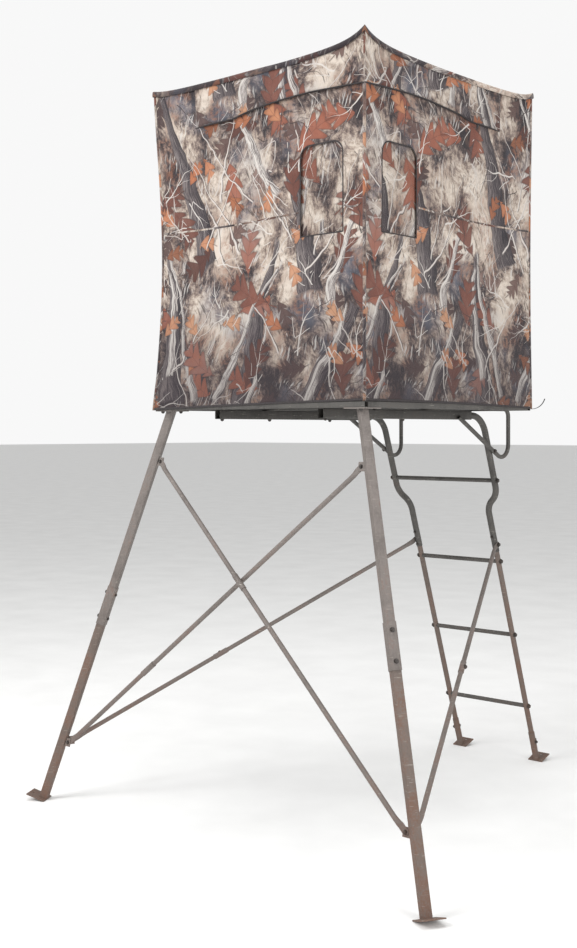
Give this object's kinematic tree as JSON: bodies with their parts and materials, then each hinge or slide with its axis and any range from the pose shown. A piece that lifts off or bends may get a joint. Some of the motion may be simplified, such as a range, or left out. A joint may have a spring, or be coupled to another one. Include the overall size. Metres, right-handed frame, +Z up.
{
  "type": "tripod hunting tower",
  "caption": "Raised hunting platform on two raked square legs and a leaning ladder, with a square camouflage fabric blind, steel deck and crossed braces.",
  "frame": {"origin": "on the ground, on the centre line, halfway between the line of the two front feet and the line of the ladder feet", "axes": "+X along the front, +Y from the front legs towards the ladder, +Z up"},
  "size_m": [2.9018, 2.8113, 4.155],
  "materials": {
    "steel": "weathered taupe paint",
    "dark_steel": "dark grey-green paint",
    "rusty_steel": "weathered paint with thin rust",
    "deck_steel": "dark expanded mesh",
    "camo_cloth": "woven polyester printed with a leaf and branch camouflage",
    "mesh_cloth": "printed see-through mesh",
    "black_plastic": "black"
  },
  "bodies": {
    "root": {"leg_lower_left": "rusty_steel", "leg_lower_right": "rusty_steel", "leg_upper_left": "steel", "leg_upper_right": "steel", "leg_sleeves": "steel", "leg_brackets": "steel", "foot_plate_left": "rusty_steel", "foot_plate_right": "rusty_steel", "cross_brace_front": "steel", "cross_brace_rear": "steel", "long_brace_left": "steel", "long_brace_right": "steel", "rail_lower_left": "rusty_steel", "rail_lower_right": "rusty_steel", "rail_upper_left": "dark_steel", "rail_upper_right": "dark_steel", "rungs": "dark_steel", "rail_foot_left": "rusty_steel", "rail_foot_right": "rusty_steel", "hand_hoop_left": "dark_steel", "hand_hoop_right": "dark_steel", "main_beams": "dark_steel", "frame_front": "dark_steel", "frame_back": "dark_steel", "frame_sides": "dark_steel", "cross_members": "dark_steel", "corner_gussets": "steel", "deck": "deck_steel", "corner_poles": "dark_steel", "eave_poles": "dark_steel", "roof_poles": "dark_steel", "wall_front": "camo_cloth", "wall_right": "camo_cloth", "wall_back": "camo_cloth", "wall_left": "camo_cloth", "door_panel": "camo_cloth", "window_mesh_front": "mesh_cloth", "window_mesh_right": "mesh_cloth", "window_mesh_back": "mesh_cloth", "window_mesh_left": "mesh_cloth", "brow_front": "camo_cloth", "brow_back": "camo_cloth", "roof": "camo_cloth", "hem_hook": "black_plastic"}
  },
  "joints": []
}
